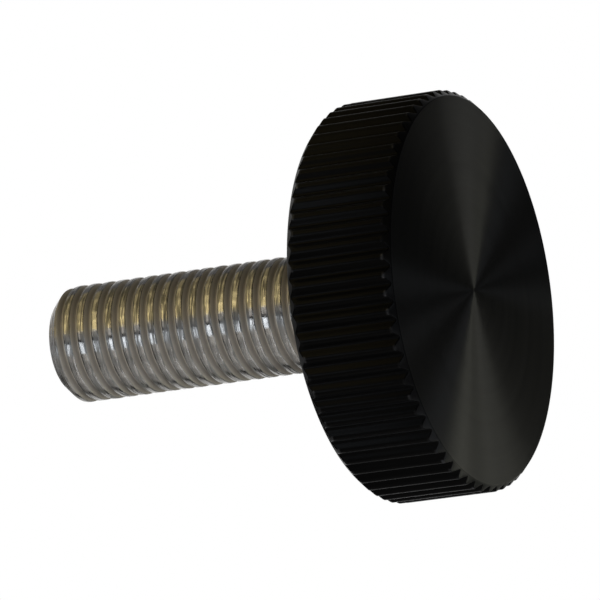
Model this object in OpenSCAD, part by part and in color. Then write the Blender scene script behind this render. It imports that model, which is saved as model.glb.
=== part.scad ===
// Thumb screw: a straight-knurled disc head on a threaded stud.
//
// The screw stands on the turned face of its head, at z = 0, with the stud
// pointing up along +Z. The origin is the centre of that face. Millimetres.
//
// The head is turned and knurled from bar. The stud has a plain foot, thinner
// than its thread, which is fixed in a blind socket in the back of the head
// and stands on the end of the socket's wall. The thread starts level with
// the clamping face. It is drawn as ring grooves with the section and pitch of
// the real one, so its crests are true cylinders.

/* [Head] */
// Diameter over the tips of the knurl
head_d = 27; // [22:0.5:36]
// Thickness from the turned face to the clamping face
head_t = 7.6; // [6.4:0.1:12]
// Height of the 45 degree bevel round the turned face
face_bevel = 0.45; // [0.2:0.05:1]
// Height of the 45 degree bevel round the clamping face
back_bevel = 0.6; // [0.2:0.05:1.2]

/* [Knurl] */
// Number of straight ridges round the rim
ridge_count = 70; // [48:1:84]
// Depth of the grooves below the ridge tops
groove_depth = 0.38; // [0.2:0.02:0.5]
// Width of the flat on top of each ridge
ridge_land = 0.3; // [0.1:0.05:0.4]
// Width of the flat at the bottom of each groove
groove_floor = 0.15; // [0.05:0.05:0.3]

/* [Stud] */
// Major diameter of the thread
thread_d = 7.9375; // [6:0.0125:10]
// Distance from one thread crest to the next
thread_pitch = 1.0583; // [0.7:0.0001:1.3]
// Length of the stud outside the head
stud_len = 22.6; // [12:0.2:40]
// Height of the 45 degree bevel at the free end of the stud
end_bevel = 0.8; // [0.65:0.05:1.2]

/* [Socket] */
// Step from the thread crests down to the plain foot in the socket
foot_step = 0.4; // [0.3:0.05:0.6]
// Metal left between the tip of the socket and the turned face
face_wall = 1; // [0.6:0.1:1.5]
// Point angle of the drill that made the socket
drill_angle = 118; // [90:1:140]
// How far the 45 degree countersink of the socket stands outside the thread
mouth_margin = 0.1; // [0.05:0.05:0.4]

/* [Hidden] */

$fn = 140;
// How far a cutting shape stands past the solid that it cuts
over = 1;

head_r = head_d / 2;
thread_r = thread_d / 2;
stud_top = head_t + stud_len;
// The foot and the socket share this radius: they are bonded line to line.
foot_r = thread_r - foot_step;

// A 60 degree thread: height of the sharp triangle, and the truncated form
// with a crest flat of an eighth of the pitch and a root flat of a quarter.
sharp_h = thread_pitch * sqrt(3) / 2;
thread_depth = sharp_h * 5 / 8;
crest_flat = thread_pitch / 8;
root_flat = thread_pitch / 4;
flank_run = (thread_pitch - crest_flat - root_flat) / 2;
root_r = thread_r - thread_depth;
turn_count = ceil(stud_len / thread_pitch);

// The socket is a drilled hole whose conical tip stops short of the face.
socket_floor = face_wall + foot_r / tan(drill_angle / 2);
mouth_r = thread_r + mouth_margin;

// One point of the knurl's outline, from its radius and its distance round
// the rim from the middle of the ridge.
function rim_point(ridge, radius, along) =
    let (turn = ridge * 360 / ridge_count + along / head_r * 180 / PI)
    [radius * cos(turn), radius * sin(turn)];

// The rim in section: each ridge is a flat land, then a groove with sloping
// walls and a narrow floor.
function rim_outline() =
    let (pitch = PI * head_d / ridge_count)
    [for (i = [0 : ridge_count - 1])
        each [
            rim_point(i, head_r, -ridge_land / 2),
            rim_point(i, head_r, ridge_land / 2),
            rim_point(i, head_r - groove_depth, (pitch - groove_floor) / 2),
            rim_point(i, head_r - groove_depth, (pitch + groove_floor) / 2)
        ]];

// The side of the thread in section, from the clamping face upwards: each
// turn falls from a crest to the root and climbs back to the next crest.
function thread_side() =
    [for (i = [0 : turn_count - 1])
        let (foot = head_t + i * thread_pitch)
        each [
            [thread_r, foot],
            [root_r, foot + flank_run],
            [root_r, foot + flank_run + root_flat],
            [thread_r, foot + thread_pitch - crest_flat]
        ]];

// Everything that lies inside the two bevels of the head.
module bevelled_disc() {
    rotate_extrude()
        polygon([
            [0, 0],
            [head_r - face_bevel, 0],
            [head_r + over, face_bevel + over],
            [head_r + over, head_t - back_bevel - over],
            [head_r - back_bevel, head_t],
            [0, head_t]
        ]);
}

// The drilled socket with its conical tip and countersunk mouth.
module socket() {
    rotate_extrude()
        polygon([
            [0, face_wall],
            [foot_r, socket_floor],
            [foot_r, head_t - (mouth_r - foot_r)],
            [mouth_r + over, head_t + over],
            [0, head_t + over]
        ]);
}

// Everything that lies inside the bevel at the free end of the stud.
module bevelled_rod() {
    rotate_extrude()
        polygon([
            [0, socket_floor],
            [thread_r + over, socket_floor],
            [thread_r + over, stud_top - end_bevel - over],
            [thread_r - end_bevel, stud_top],
            [0, stud_top]
        ]);
}

// The thread on its plain foot, longer than the stud at both ends.
module thread_blank() {
    rotate_extrude()
        polygon([
            [0, socket_floor - over],
            [foot_r, socket_floor - over],
            [foot_r, head_t],
            each thread_side(),
            [thread_r, head_t + turn_count * thread_pitch],
            [0, head_t + turn_count * thread_pitch]
        ]);
}

module knurled_head() {
    color([0.07, 0.07, 0.075])
        difference() {
            intersection() {
                translate([0, 0, -over])
                    linear_extrude(head_t + 2 * over)
                        polygon(rim_outline());
                bevelled_disc();
            }
            socket();
        }
}

module threaded_stud() {
    color([0.72, 0.7, 0.66])
        intersection() {
            thread_blank();
            bevelled_rod();
        }
}

knurled_head();
threaded_stud();
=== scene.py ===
"""A thumb screw: a black, straight-knurled disc head on a bright steel stud.

The screw stands on the turned face of its head, with the stud up. The frame gives
where each piece is; the finer forms, such as the rounded ridges of the knurl and the
right-hand helix of the thread, are surfaces worked out here as numpy grids.
"""
import math

import bmesh
import bpy
import numpy as np
from mathutils import Matrix, Vector


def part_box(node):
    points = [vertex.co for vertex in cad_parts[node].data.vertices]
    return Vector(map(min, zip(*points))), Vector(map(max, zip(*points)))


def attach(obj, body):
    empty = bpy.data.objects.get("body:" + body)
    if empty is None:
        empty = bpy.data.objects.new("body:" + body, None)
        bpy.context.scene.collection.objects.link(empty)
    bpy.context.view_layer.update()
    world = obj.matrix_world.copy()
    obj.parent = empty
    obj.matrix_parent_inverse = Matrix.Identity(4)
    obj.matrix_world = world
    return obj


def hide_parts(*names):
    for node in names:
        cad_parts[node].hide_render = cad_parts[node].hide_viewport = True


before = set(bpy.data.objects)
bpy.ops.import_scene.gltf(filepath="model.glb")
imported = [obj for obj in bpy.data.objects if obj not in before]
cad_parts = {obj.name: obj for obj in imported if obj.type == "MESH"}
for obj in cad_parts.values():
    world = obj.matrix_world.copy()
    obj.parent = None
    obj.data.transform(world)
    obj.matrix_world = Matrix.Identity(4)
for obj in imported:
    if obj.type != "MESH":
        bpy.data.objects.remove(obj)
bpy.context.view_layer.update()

MM = 0.001
FULL_TURN = 2 * math.pi

# The head, from the frame, and the forms cut into it
head_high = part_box("knurled_head")[1]
HEAD_R = head_high.x
HEAD_T = head_high.z
FACE_BEVEL = 0.45 * MM
BACK_BEVEL = 0.6 * MM
RIDGES = 70
GROOVE_DEPTH = 0.38 * MM
RIDGE_LAND = 0.3 * MM
RIDGE_PITCH = FULL_TURN * HEAD_R / RIDGES

# The stud, from the frame, and its thread
stud_low, stud_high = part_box("threaded_stud")
THREAD_R = stud_high.x
STUD_TOP = stud_high.z
FOOT_END = stud_low.z
PITCH = 1.0583 * MM
THREAD_DEPTH = 0.32 * MM
CREST_FLAT = 0.5 * PITCH
ROOT_FLAT = 0.1 * PITCH
FLANK_SLOPE = THREAD_DEPTH / ((PITCH - CREST_FLAT - ROOT_FLAT) / 2)
FIRST_CREST = HEAD_T - 0.05 * PITCH
END_BEVEL = 0.8 * MM

# The blind socket in the head, and the plain foot of the stud that fills it
FOOT_R = THREAD_R - 0.4 * MM
MOUTH_R = THREAD_R + 0.1 * MM
FACE_WALL = 1.0 * MM

# How finely the surfaces are drawn, and how their edges are rounded
RIDGE_COLUMNS = 16
RIDGE_ROUNDING = 0.09 * MM
CORNER_STEPS = 5
CORNER_CUTS = np.array([0.06, 0.08, 0.08, 0.08, 0.04, 0.04, 0.04]) * MM
HEAD_SHARP = 50
THREAD_COLUMNS = 128
THREAD_ROWS = 24
THREAD_ROUNDING = 0.08 * MM
FOOT_ROUNDING = 0.1 * MM
STUD_SHARP = 50
# The radius that a fan closes at each pole, how near points are merged, and how far the
# drawn floor is below the screw
POLE_GAP = 0.1 * MM
WELD = 0.0005 * MM
FLOOR_GAP = 0.05 * MM

# Sizes of the marks in the finishes. On the thread, the crests' shine is full down to
# CREST_FULL and gone at CREST_SHINE, and the roots' dullness and painted shade start at ROOT_EDGE
RING_PITCH = 0.09 * MM
RING_DEPTH = 0.0006 * MM
BAND_PITCH = 0.8 * MM
TIP_REACH = 0.16 * MM
TIP_DEPTH = 0.1 * MM
PATCH_SIZE = 1.3 * MM
CREST_FULL = 0.024 * MM
CREST_SHINE = 0.06 * MM
WEAR_LENGTH = 1.6 * MM
WEAR_WIDTH = WEAR_LENGTH / 12
ROOT_EDGE = 0.08 * MM
GRAIN_SIZE = 0.12 * MM
GRAIN_DEPTH = 0.003 * MM

# Colours of the finishes
FACE_BLACK = (0.0035, 0.0035, 0.0035, 1)
EDGE_BLACK = (0.0025, 0.0025, 0.003, 1)
RIM_BLACK = (0.001, 0.001, 0.0011, 1)
RUBBED_METAL = (0.07, 0.07, 0.075, 1)
CREST_STEEL = (0.4, 0.39, 0.375, 1)
FLANK_STEEL = (0.7, 0.65, 0.58, 1)
# Painted shade: a dark brown laid into the thread's roots, where shade falls between the flanks
ROOT_PAINTED_SHADE = (0.29, 0.26, 0.23, 1)


# ---------------------------------------------------------------- forms

def soft_max(a, b, width):
    """The larger of two arrays, blended over a width: half of a + b + sqrt((a - b)^2 + width^2)."""
    return (a + b + np.sqrt((a - b) ** 2 + width ** 2)) / 2


def soft_min(a, b, width):
    """The smaller of two arrays, blended over a width: half of a + b - sqrt((a - b)^2 + width^2)."""
    return (a + b - np.sqrt((a - b) ** 2 + width ** 2)) / 2


def groove(across, land, slope, depth, rounding):
    """Depth of a groove at a distance across it from the middle of the land beside it.

    It is 0 on the land, falls at the slope, and stops at the depth, with both
    corners rounded.
    """
    return soft_min(soft_max((np.abs(across) - land / 2) * slope, 0, rounding), depth, rounding)


def round_corners(corners, cuts, steps):
    """Profiles through corner points, each inner corner taken round by a parabola.

    corners is an array of (corner, column, 2). A corner C with a cut c becomes the
    points (1-t)^2 A + 2t(1-t) C + t^2 B, where A and B lie c before and after it on
    its two sides. The result is an array of (row, column, 2).
    """
    rows = [corners[0]]
    for before, here, after, cut in zip(corners, corners[1:], corners[2:], cuts):
        legs = [before - here, after - here]
        lengths = [np.linalg.norm(leg, axis=1, keepdims=True) for leg in legs]
        start, end = (here + leg / length * np.minimum(cut, 0.45 * length)
                      for leg, length in zip(legs, lengths))
        for t in np.linspace(0, 1, steps):
            rows.append((1 - t) ** 2 * start + 2 * t * (1 - t) * here + t ** 2 * end)
    rows.append(corners[-1])
    return np.array(rows)


def turned_points(profile, turn, low, high):
    """Points (r cos a, r sin a, z) of a profile's rows at each angle, then the two poles."""
    radius, height = profile[..., 0], profile[..., 1]
    round_axis = np.stack([radius * np.cos(turn), radius * np.sin(turn), height], -1)
    return np.vstack([round_axis.reshape(-1, 3), [[0, 0, low], [0, 0, high]]])


def make_piece(name, points, faces, sharp_deg):
    """A mesh object at the origin, smooth but for edges that turn by more than sharp_deg."""
    mesh = bpy.data.meshes.new(name)
    mesh.from_pydata(points.tolist(), [], faces)
    form = bmesh.new()
    form.from_mesh(mesh)
    bmesh.ops.remove_doubles(form, verts=form.verts, dist=WELD)
    bmesh.ops.recalc_face_normals(form, faces=form.faces)
    form.to_mesh(mesh)
    form.free()
    mesh.shade_smooth()
    mesh.set_sharp_from_angle(angle=math.radians(sharp_deg))
    piece = bpy.data.objects.new(name, mesh)
    bpy.context.scene.collection.objects.link(piece)
    return piece


def turned_faces(rows, columns, meets=None):
    """Quads of a closed surface round the Z axis, and a fan at each pole.

    Point (row, column) has the index row * columns + column, and the two poles follow.
    Across the seam, a row of the last column goes on as the row that meets gives in the
    first: itself, unless the rows climb a thread.
    """
    meets = np.arange(rows) if meets is None else meets
    row, column = np.meshgrid(np.arange(rows), np.arange(columns), indexing="ij")
    here = row * columns + column
    right = np.where(column < columns - 1, here + 1, meets[row] * columns)
    quads = np.stack([here[:-1], right[:-1], right[1:], here[1:]], -1).reshape(-1, 4)
    low, high = rows * columns, rows * columns + 1
    low_fan = np.stack([np.full(columns, low), right[0], here[0]], -1)
    high_fan = np.stack([np.full(columns, high), here[-1], right[-1]], -1)
    return quads.tolist() + low_fan.tolist() + high_fan.tolist()


# ---------------------------------------------------------------- head

def rim_radius(turn):
    """Radius of the knurled rim at each angle: ridges with a narrow land and 45 degree flanks."""
    across = ((turn / FULL_TURN * RIDGES + 0.5) % 1 - 0.5) * RIDGE_PITCH
    return HEAD_R - groove(across, RIDGE_LAND, 1.0, GROOVE_DEPTH, RIDGE_ROUNDING)


def make_head():
    """The head as one closed surface.

    Each column is the section of the head at one angle: from the middle of the turned
    face out to its bevel, up the rim at that angle's own radius, over the back bevel,
    in to the countersunk socket, down its wall to the end of the stud's foot, and on to
    the tip of the drilled hole.
    """
    columns = RIDGES * RIDGE_COLUMNS
    turn = np.arange(columns) / columns * FULL_TURN
    rim = rim_radius(turn)
    every = np.ones(columns)
    corners = np.array([
        [POLE_GAP * every, 0 * every],
        [(HEAD_R - FACE_BEVEL) * every, 0 * every],
        [rim, FACE_BEVEL - (HEAD_R - rim)],
        [rim, HEAD_T - BACK_BEVEL + (HEAD_R - rim)],
        [(HEAD_R - BACK_BEVEL) * every, HEAD_T * every],
        [MOUTH_R * every, HEAD_T * every],
        [FOOT_R * every, (HEAD_T - MOUTH_R + FOOT_R) * every],
        [FOOT_R * every, FOOT_END * every],
        [POLE_GAP * every, FACE_WALL * every],
    ]).transpose(0, 2, 1)
    profile = round_corners(corners, CORNER_CUTS, CORNER_STEPS)
    return make_piece("knurled_head_dressed", turned_points(profile, turn, 0, FACE_WALL),
                      turned_faces(len(profile), columns), HEAD_SHARP)


# ---------------------------------------------------------------- stud

def thread_radius(turn, height):
    """Radius of the right-hand thread at an angle and a height, inside the end bevel."""
    climbed = (height - FIRST_CREST) / PITCH - turn / FULL_TURN
    across = ((climbed + 0.5) % 1 - 0.5) * PITCH
    thread = THREAD_R - groove(across, CREST_FLAT, FLANK_SLOPE, THREAD_DEPTH, THREAD_ROUNDING)
    bevel = THREAD_R - END_BEVEL + (STUD_TOP - height)
    return soft_min(thread, bevel, THREAD_ROUNDING)


def make_stud():
    """The stud as one closed surface whose rows climb with the thread.

    Row w has the height head + pitch * (w + angle / turn) at each angle, held between the
    clamping face and the free end, so that a row keeps its place on the thread's section.
    """
    climb = np.arange(-THREAD_ROWS, math.ceil((STUD_TOP - HEAD_T) / PITCH * THREAD_ROWS) + 1)
    turn = np.arange(THREAD_COLUMNS) / THREAD_COLUMNS * FULL_TURN
    height = HEAD_T + PITCH * (climb[:, None] / THREAD_ROWS + turn / FULL_TURN)
    height = np.clip(height, HEAD_T, STUD_TOP)
    thread = np.stack([thread_radius(turn, height), height], -1)
    end_r = THREAD_R - END_BEVEL
    foot = [(POLE_GAP, FOOT_END), (FOOT_R - FOOT_ROUNDING, FOOT_END),
            (FOOT_R, FOOT_END + FOOT_ROUNDING), (FOOT_R, HEAD_T)]
    end = [(end_r - THREAD_ROUNDING, STUD_TOP), (POLE_GAP, STUD_TOP)]
    ring = np.ones((THREAD_COLUMNS, 1))
    profile = np.stack([*(ring * place for place in foot), *thread, *(ring * place for place in end)])
    meets = np.arange(len(profile))
    first, last = len(foot), len(foot) + len(climb) - 1
    meets[first:last + 1] = np.minimum(meets[first:last + 1] + THREAD_ROWS, last)
    return make_piece("threaded_stud_dressed", turned_points(profile, turn, FOOT_END, STUD_TOP),
                      turned_faces(len(profile), THREAD_COLUMNS, meets), STUD_SHARP)


# ---------------------------------------------------------------- camera

# How the picture looks at the screw: the angle between its axis and the line of sight,
# how far the axis rises to the right, the distance in head radii, the picture's scale
# in pixels to a head radius, and the pixel where the middle of the clamping face falls
AXIS_TO_SIGHT = math.radians(65.37)
AXIS_RISE = math.radians(7.96)
DISTANCE = 40 * HEAD_R
SCALE_PX = 201.9
BACK_PX = (370.8, 304.3)
PICTURE_PX = 600
SENSOR_MM = 36

# From these come the camera's elevation, which is below the head, and the picture's axes:
# the screw's axis from the stud to the head as it is seen, and what lies square to it
CAMERA_RISE = AXIS_TO_SIGHT - math.pi / 2
TOWARDS_CAMERA = Vector((0, -math.cos(CAMERA_RISE), math.sin(CAMERA_RISE)))
AXIS_SEEN = (Vector((0, 0, -1)) + TOWARDS_CAMERA * math.sin(CAMERA_RISE)).normalized()
SIDE_SEEN = TOWARDS_CAMERA.cross(AXIS_SEEN)
PICTURE_RIGHT = AXIS_SEEN * math.cos(AXIS_RISE) - SIDE_SEEN * math.sin(AXIS_RISE)
PICTURE_UP = AXIS_SEEN * math.sin(AXIS_RISE) + SIDE_SEEN * math.cos(AXIS_RISE)


def make_camera():
    """The camera, placed so that the middle of the clamping face falls on its pixel."""
    data = bpy.data.cameras.new("camera")
    data.sensor_width = SENSOR_MM
    data.lens = SCALE_PX * DISTANCE / HEAD_R / PICTURE_PX * SENSOR_MM
    data.clip_start, data.clip_end = DISTANCE / 100, DISTANCE * 100
    camera = bpy.data.objects.new("camera", data)
    bpy.context.scene.collection.objects.link(camera)
    px = HEAD_R / SCALE_PX
    back = Vector((0, 0, HEAD_T))
    place = (back + TOWARDS_CAMERA * DISTANCE
             - PICTURE_RIGHT * (BACK_PX[0] - PICTURE_PX / 2) * px
             + PICTURE_UP * (BACK_PX[1] - PICTURE_PX / 2) * px)
    turn = Matrix((PICTURE_RIGHT, PICTURE_UP, TOWARDS_CAMERA)).transposed()
    camera.matrix_world = Matrix.Translation(place) @ turn.to_4x4()
    bpy.context.scene.camera = camera


# ---------------------------------------------------------------- finishes

class Value:
    """One output socket, so that maths on a surface reads as an expression."""

    def __init__(self, finish, socket):
        self.finish, self.socket = finish, socket

    def maths(self, operation, *others):
        return self.finish.add("ShaderNodeMath", {"operation": operation}, [self, *others])[0]

    def __add__(self, other):
        return self.maths("ADD", other)

    def __mul__(self, other):
        return self.maths("MULTIPLY", other)

    def __sub__(self, other):
        return self.maths("SUBTRACT", other)

    def __rsub__(self, other):
        return self.finish.add("ShaderNodeMath", {"operation": "SUBTRACT"}, [other, self])[0]

    def __truediv__(self, other):
        return self.maths("DIVIDE", other)

    __radd__ = __add__
    __rmul__ = __mul__

    def clamped(self):
        return self.finish.add("ShaderNodeClamp", {}, {"Value": self})[0]

    def rise(self, start, end):
        """0 up to the start, 1 from the end on, and even between them."""
        return ((self - start) / (end - start)).clamped()

    def root(self):
        return self.maths("SQRT")

    def size(self):
        return self.maths("ABSOLUTE")


class Finish:
    """The node tree of one material or of the world, with one way to add a node."""

    def __init__(self, owner):
        owner.use_nodes = True
        self.owner, self.tree = owner, owner.node_tree
        self.tree.nodes.clear()

    def add(self, kind, settings, inputs):
        """Adds a node, sets its settings, and fills its sockets by name or in order."""
        node = self.tree.nodes.new(kind)
        for name, setting in settings.items():
            setattr(node, name, setting)
        pairs = inputs.items() if isinstance(inputs, dict) else enumerate(inputs)
        for key, given in pairs:
            socket = node.inputs[key]
            if isinstance(given, Value):
                self.tree.links.new(given.socket, socket)
            else:
                socket.default_value = given
        return [Value(self, socket) for socket in node.outputs]

    def covered(self, settings):
        """Gives a material its surface, with a shader of these settings, and returns it."""
        shader = self.add("ShaderNodeBsdfPrincipled", {}, settings)[0]
        self.add("ShaderNodeOutputMaterial", {}, {"Surface": shader})
        return self.owner


# The outputs that are read from a node with several, by their place among them
OBJECT_PLACE = 3
LOOK = 0
IS_CAMERA_RAY, IS_GLOSSY_RAY, IS_TRANSMISSION_RAY = 0, 3, 6
IS_BACK = 6


def make_material(name):
    return Finish(bpy.data.materials.new(name))


def place_on_piece(finish):
    """The x, y and z of a point on the piece, and its distance from the screw's axis."""
    point = finish.add("ShaderNodeTexCoord", {}, {})[OBJECT_PLACE]
    x, y, z = finish.add("ShaderNodeSeparateXYZ", {}, [point])
    return x, y, z, (x * x + y * y).root()


def speckle(finish, x, y, z, detail):
    """Noise from 0 to 1 over points given as three numbers, with the detail in octaves."""
    point = finish.add("ShaderNodeCombineXYZ", {}, [x, y, z])[0]
    return finish.add("ShaderNodeTexNoise", {}, {"Vector": point, "Scale": 1, "Detail": detail})[0]


def blend(finish, factor, first, second):
    """A colour from the first to the second as the factor goes from 0 to 1."""
    return finish.add("ShaderNodeMix", {"data_type": "RGBA"}, {"Factor": factor, 6: first, 7: second})[2]


def dimples(finish, height, depth):
    """A normal that follows a height from 0 to 1 over a depth."""
    return finish.add("ShaderNodeBump", {}, {"Strength": 1, "Distance": depth, "Height": height})[0]


def finish_head_face():
    """Turned black face: fine rings round the axis spread the light into a wedge.

    Noise over the distance from the axis gives the tool's rings, and some rings are a
    little rougher than others.
    """
    finish = make_material("turned_black")
    x, y, z, radius = place_on_piece(finish)
    rings = speckle(finish, radius / RING_PITCH, 0, 0, 3)
    bands = speckle(finish, radius / BAND_PITCH, 0, 0, 1)
    return finish.covered({
        "Base Color": FACE_BLACK,
        "Roughness": (bands - 0.5) * 0.16 + 0.38,
        "Normal": dimples(finish, rings, RING_DEPTH),
        "IOR": 1.8,
        "Anisotropic": 1,
        "Anisotropic Rotation": 0.25,
    })


def rubbed(finish, black):
    """The black of the head, and the metal that shows where the ridges' tips are rubbed.

    The tips are where the rim meets either bevel, on the lands alone, and a noise lets
    some of them show more metal than others. Gives the colour and how metallic it is.
    """
    x, y, z, radius = place_on_piece(finish)
    front = (1 - (z - FACE_BEVEL).size() / TIP_REACH).clamped()
    back = (1 - (z - (HEAD_T - BACK_BEVEL)).size() / TIP_REACH).clamped()
    land = radius.rise(HEAD_R - TIP_DEPTH, HEAD_R - TIP_DEPTH / 2)
    patch = speckle(finish, x / PATCH_SIZE, y / PATCH_SIZE, z / PATCH_SIZE, 2).rise(0.48, 0.68)
    metal = (front + back) * land * (patch * 0.9 + 0.1)
    return blend(finish, metal, black, RUBBED_METAL), metal * 0.6


def finish_edges():
    """The two bevels, turned with a broad tool and less bright than the face."""
    finish = make_material("bevelled_black")
    colour, metal = rubbed(finish, EDGE_BLACK)
    return finish.covered({
        "Base Color": colour,
        "Metallic": metal,
        "Roughness": 0.38,
        "IOR": 1.36,
        "Anisotropic": 0.9,
        "Anisotropic Rotation": 0.25,
    })


def finish_rim():
    """The knurled rim, nearly without a shine, and rubbed at the ridges' tips."""
    finish = make_material("knurled_black")
    colour, metal = rubbed(finish, RIM_BLACK)
    return finish.covered({
        "Base Color": colour,
        "Metallic": metal,
        "Roughness": 0.32,
        "IOR": 1.11,
        "Sheen Weight": 0.06,
        "Sheen Roughness": 0.4,
    })


def finish_steel():
    """Bare steel: smooth crests, pale cut flanks between them, and dull roots with painted shade, a
    brown that darkens them with depth.

    All three are steps in the depth below the crests, which is worked out from the
    distance from the axis and the end bevel. A noise stretched round the stud leaves
    some stretches of the crests brighter than others.
    """
    finish = make_material("plain_steel")
    x, y, z, radius = place_on_piece(finish)
    outside = (THREAD_R - END_BEVEL + STUD_TOP - z).maths("MINIMUM", THREAD_R)
    depth = outside - radius
    crest = 1 - depth.rise(CREST_FULL, CREST_SHINE)
    wear = speckle(finish, x / WEAR_LENGTH, y / WEAR_LENGTH, z / WEAR_WIDTH, 2)
    bright = crest * wear.rise(0.3, 0.55)
    below_end = (STUD_TOP - z).rise(THREAD_ROUNDING, 2 * THREAD_ROUNDING)
    # root masks the painted shade, which grows with the depth into the thread's roots
    root = depth.rise(ROOT_EDGE, THREAD_DEPTH) * below_end
    grain = speckle(finish, x / GRAIN_SIZE, y / GRAIN_SIZE, z / GRAIN_SIZE, 2)
    cut = blend(finish, crest, FLANK_STEEL, CREST_STEEL)
    return finish.covered({
        "Base Color": blend(finish, root, cut, ROOT_PAINTED_SHADE),
        "Metallic": crest * 0.45 + 0.55,
        "Roughness": 0.62 - bright * 0.42 + root * 0.05,
        "Normal": dimples(finish, grain, GRAIN_DEPTH),
        "Anisotropic": 1,
        "Anisotropic Rotation": 0.25,
    })


# ---------------------------------------------------------------- studio

STUD_MIDDLE = STUD_TOP / 2
# The elevation that an upright side of the screw mirrors to the camera
MIRROR_RISE = -math.degrees(CAMERA_RISE)

WHITE = (1, 1, 1)
WARM = (1, 0.97, 0.92)
COOL = (0.85, 0.92, 1)
GOLD = (1, 0.82, 0.42)
STRAW = (1, 1, 0.85)

# The lamps stand in arcs round the axis. Each arc has a name, the height of its aim, its
# elevation in degrees, its distance, the height and colour of its lamps, and each lamp's
# azimuth in degrees, width and glow. Lengths are in metres
LAMP_ARCS = [
    ("table", STUD_MIDDLE, 4, 0.2, 0.2, WARM,
     [(-90, 0.09, 0.43), (-65, 0.09, 0.65), (-42, 0.08, 0.54), (-24, 0.05, 0.8)]),
    ("edge", STUD_MIDDLE, -2, 0.2, 0.014, COOL, [(-90, 0.09, 1), (-65, 0.09, 2.4), (-42, 0.08, 2.6)]),
    ("ground", STUD_MIDDLE, -34, 0.2, 0.14, COOL, [(-90, 0.09, 0.5), (-24, 0.05, 0.5), (12, 0.05, 0.7)]),
    ("under", STUD_MIDDLE, MIRROR_RISE, 0.2, 0.12, WHITE, [(-132, 0.08, 0.6), (-160, 0.1, 1)]),
    ("window", STUD_MIDDLE, MIRROR_RISE, 0.15, 0.045, COOL, [(-11, 0.03, 3.7), (-1, 0.02, 4.5)]),
    ("gold", STUD_MIDDLE, MIRROR_RISE, 0.15, 0.06, GOLD,
     [(34, 0.045, 2.2), (52, 0.05, 1.5), (75, 0.07, 0.75), (100, 0.07, 0.4)]),
    ("pale", STUD_MIDDLE, MIRROR_RISE, 0.15, 0.06, WARM, [(18, 0.04, 1.1)]),
    ("top", STUD_MIDDLE, 20, 0.15, 0.2, WHITE, [(130, 0.08, 0.15), (158, 0.07, 0.65)]),
    ("overhead", STUD_MIDDLE, 62, 0.3, 0.2, WHITE, [(165, 0.2, 0.5)]),
    ("wedge", 0, -21, 0.15, 0.08, STRAW, [(-150, 0.03, 0.55), (-162, 0.03, 0.4)]),
    ("wedge_side", 0, -31, 0.15, 0.05, STRAW, [(-126, 0.03, 2.7)]),
    ("wedge_low", 0, -6, 0.15, 0.025, STRAW, [(-168, 0.06, 0.5)]),
]


def make_lamp(name, aim, azimuth, elevation, distance, width, height, glow, colour):
    """A soft lamp turned to a height on the screw's axis, which the camera doesn't see.

    The azimuth counts in degrees round the axis from the camera's side towards the
    picture's top, and the elevation towards the free end. The width runs round the
    axis, and glow is the lamp's own brightness, where 1 is white.
    """
    data = bpy.data.lights.new(name, "AREA")
    data.shape, data.size, data.size_y = "RECTANGLE", width, height
    data.energy, data.color = glow * math.pi * width * height, colour
    lamp = bpy.data.objects.new(name, data)
    bpy.context.scene.collection.objects.link(lamp)
    around, raised = math.radians(azimuth), math.radians(elevation)
    across = Vector((math.cos(around), math.sin(around), 0))
    line = Vector((math.sin(around) * math.cos(raised), -math.cos(around) * math.cos(raised),
                   math.sin(raised)))
    turn = Matrix((across, line.cross(across), line)).transposed()
    lamp.matrix_world = Matrix.Translation(Vector((0, 0, aim)) + line * distance) @ turn.to_4x4()
    lamp.visible_camera = False


def make_lamps():
    """Every lamp of every arc, named after its arc and its place in it."""
    for arc, aim, elevation, distance, height, colour, lamps in LAMP_ARCS:
        for number, (azimuth, width, glow) in enumerate(lamps, 1):
            make_lamp(f"{arc}_{number}", aim, azimuth, elevation, distance, width, height, glow, colour)


# How far from the middle of the backdrop its white fades, in degrees, and the glow of the
# room round the screw
BACKDROP_EDGE = (18, 9)
ROOM_GLOW = 0.02


def make_world():
    """White to the camera, and to reflections that look past the screw at the backdrop."""
    world = bpy.data.worlds.new("studio")
    bpy.context.scene.world = world
    finish = Finish(world)
    path = finish.add("ShaderNodeLightPath", {}, {})
    look = finish.add("ShaderNodeTexCoord", {}, {})[LOOK]
    behind = finish.add("ShaderNodeVectorMath", {"operation": "DOT_PRODUCT"},
                        [look, tuple(-TOWARDS_CAMERA)])[1]
    outer, inner = (math.cos(math.radians(angle)) for angle in BACKDROP_EDGE)
    backdrop = behind.rise(outer, inner)
    mirrored = (path[IS_GLOSSY_RAY] + path[IS_TRANSMISSION_RAY]).clamped()
    white = (path[IS_CAMERA_RAY] + mirrored * backdrop).clamped()
    shown = finish.add("ShaderNodeBackground", {}, {"Color": (1, 1, 1, 1), "Strength": 1})[0]
    dim = finish.add("ShaderNodeBackground", {}, {"Color": (1, 1, 1, 1), "Strength": ROOM_GLOW})[0]
    both = finish.add("ShaderNodeMixShader", {}, [white, dim, shown])[0]
    finish.add("ShaderNodeOutputWorld", {}, {"Surface": both})


# The floor's half width in metres, its paint, and the share of plain white in how it is seen
FLOOR_REACH = 1.5
FLOOR_PAINT = (0.85, 0.85, 0.85, 1)
FLOOR_WHITE = (1, 1, 0.99, 1)
FLOOR_SHARE = 0.6


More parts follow.
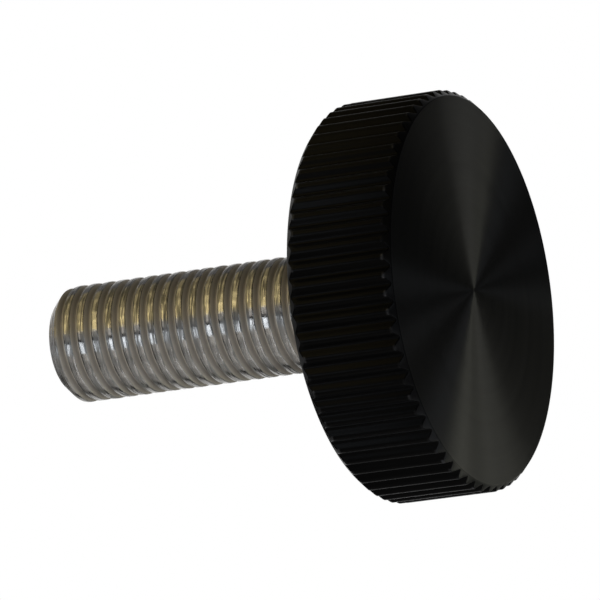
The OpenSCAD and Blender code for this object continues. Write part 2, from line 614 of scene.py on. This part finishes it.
def make_floor():
    """A pale floor, seen only from above, so that the camera below can look up through it."""
    mesh = bpy.data.meshes.new("floor")
    corners = [(-1, -1), (1, -1), (1, 1), (-1, 1)]
    mesh.from_pydata([(x * FLOOR_REACH, y * FLOOR_REACH, -FLOOR_GAP) for x, y in corners], [],
                     [(0, 1, 2, 3)])
    floor = bpy.data.objects.new("floor", mesh)
    bpy.context.scene.collection.objects.link(floor)
    finish = make_material("pale_floor")
    paint = finish.add("ShaderNodeBsdfDiffuse", {}, {"Color": FLOOR_PAINT})[0]
    pale = finish.add("ShaderNodeEmission", {}, {"Color": FLOOR_WHITE, "Strength": 1})[0]
    seen = finish.add("ShaderNodeLightPath", {}, {})[IS_CAMERA_RAY]
    lit = finish.add("ShaderNodeMixShader", {}, [seen * FLOOR_SHARE, paint, pale])[0]
    clear = finish.add("ShaderNodeBsdfTransparent", {}, {})[0]
    from_below = finish.add("ShaderNodeNewGeometry", {}, {})[IS_BACK]
    both = finish.add("ShaderNodeMixShader", {}, [from_below, lit, clear])[0]
    finish.add("ShaderNodeOutputMaterial", {}, {"Surface": both})
    mesh.materials.append(finish.owner)
    floor.visible_shadow = floor.visible_glossy = floor.visible_diffuse = False


# ---------------------------------------------------------------- the screw

# A face of the head is a bevel's or the turned face's by how far its normal leans to the axis
BEVEL_LEAN = 0.5
FACE_LEAN = 0.98


def finish_head(head):
    """Gives the rim, the bevels and the flat faces of the head their own finishes."""
    for material in (finish_rim(), finish_edges(), finish_head_face()):
        head.data.materials.append(material)
    normals = np.zeros(len(head.data.polygons) * 3)
    head.data.polygons.foreach_get("normal", normals)
    lean = np.abs(normals.reshape(-1, 3)[:, 2])
    which = (lean > BEVEL_LEAN).astype(np.int32) + (lean > FACE_LEAN)
    head.data.polygons.foreach_set("material_index", which.astype(np.int32))


make_camera()

head = make_head()
finish_head(head)
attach(head, "root")
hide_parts("knurled_head")

stud = make_stud()
stud.data.materials.append(finish_steel())
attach(stud, "root")
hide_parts("threaded_stud")

make_floor()
make_world()
make_lamps()

bpy.context.scene.view_settings.view_transform = "Standard"
